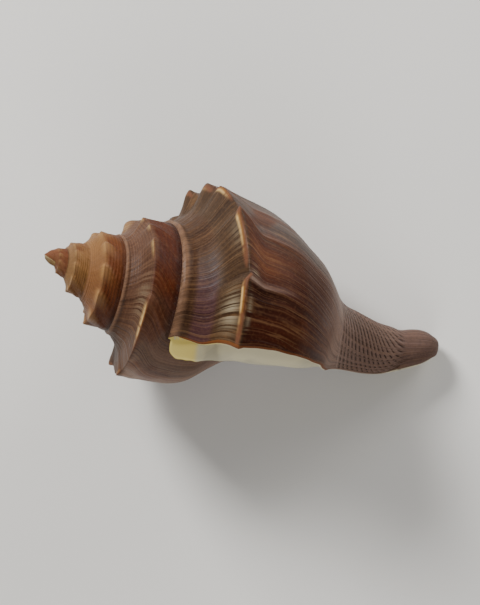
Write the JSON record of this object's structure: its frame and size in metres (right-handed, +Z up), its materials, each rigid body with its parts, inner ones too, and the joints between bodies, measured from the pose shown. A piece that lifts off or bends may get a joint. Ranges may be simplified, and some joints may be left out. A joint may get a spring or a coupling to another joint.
{
  "type": "spiral melongena shell",
  "caption": "Right-handed spiral sea shell with a knobbed shoulder, open aperture and bent siphonal canal, lying on its side.",
  "frame": {"origin": "centre of the bounding box at its lowest level, on the surface the shell lies on", "axes": "+X from the apex towards the siphonal canal, +Z up with the aperture's side facing -Y, as the shell lies on two hidden shoulder nodes and the canal"},
  "size_m": [0.0938, 0.0504, 0.0513],
  "materials": {
    "shell": "glossy chestnut-brown natural shell"
  },
  "bodies": {
    "root": {"shell": "shell"}
  },
  "joints": []
}
